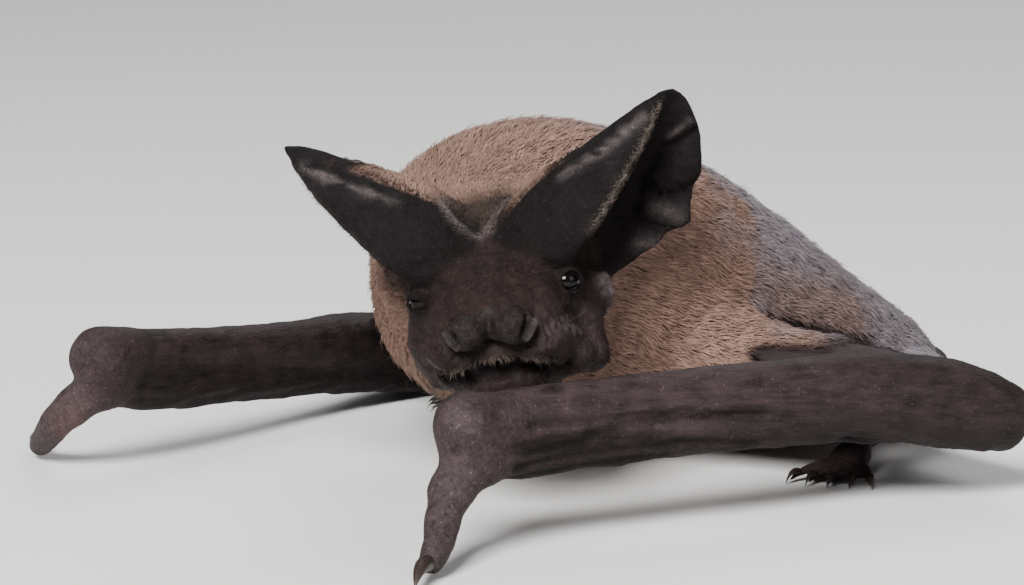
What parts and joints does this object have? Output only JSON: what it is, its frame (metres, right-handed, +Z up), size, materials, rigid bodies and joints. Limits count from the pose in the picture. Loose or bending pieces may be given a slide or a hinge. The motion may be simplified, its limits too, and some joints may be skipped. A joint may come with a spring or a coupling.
{
  "type": "crouching free-tailed bat figure",
  "caption": "Life-size crouching bat with folded wings, propped on its wrists and thumbs, head turned to one side, large ears joined over the brow, and a free tail laid beside it.",
  "frame": {"origin": "on the patch of belly that rests on the surface, under the middle of the body", "axes": "+Z up, -Y towards the bat's head end, +X towards the bat's own left side"},
  "size_m": [0.0842, 0.1205, 0.0369],
  "materials": {
    "fur": "short dense velvety fur, cinnamon brown on the shoulders and greyer on the back",
    "face_skin": "dark, finely haired, satin",
    "nose_skin": "dark bare skin, moist satin",
    "ear_skin": "dark, thin, leathery, satin",
    "limb_skin": "dark purplish brown, wrinkled, satin",
    "membrane": "dark, thin, gathered, satin",
    "eye": "black, wet, glossy",
    "claw": "horn, dark brown, slightly glossy"
  },
  "bodies": {
    "root": {"trunk": "fur", "neck": "fur", "head": "face_skin", "lower_jaw": "face_skin", "nose_pad": "nose_skin", "ear_left": "ear_skin", "ear_right": "ear_skin", "tail": "limb_skin", "upper_arm_left": "limb_skin", "upper_arm_right": "limb_skin", "forearm_left": "limb_skin", "forearm_right": "limb_skin", "wrist_left": "limb_skin", "wrist_right": "limb_skin", "fingers_left": "membrane", "fingers_right": "membrane", "thumb_left": "limb_skin", "thumb_right": "limb_skin", "wing_membrane_left": "membrane", "wing_membrane_right": "membrane", "front_web_left": "membrane", "front_web_right": "membrane", "thigh_left": "fur", "thigh_right": "fur", "shin_left": "limb_skin", "shin_right": "limb_skin", "foot_left": "limb_skin", "foot_right": "limb_skin", "tail_membrane_left": "membrane", "tail_membrane_right": "membrane", "eye_left": "eye", "thumb_claw_left": "claw", "eye_right": "eye", "thumb_claw_right": "claw"}
  },
  "joints": []
}
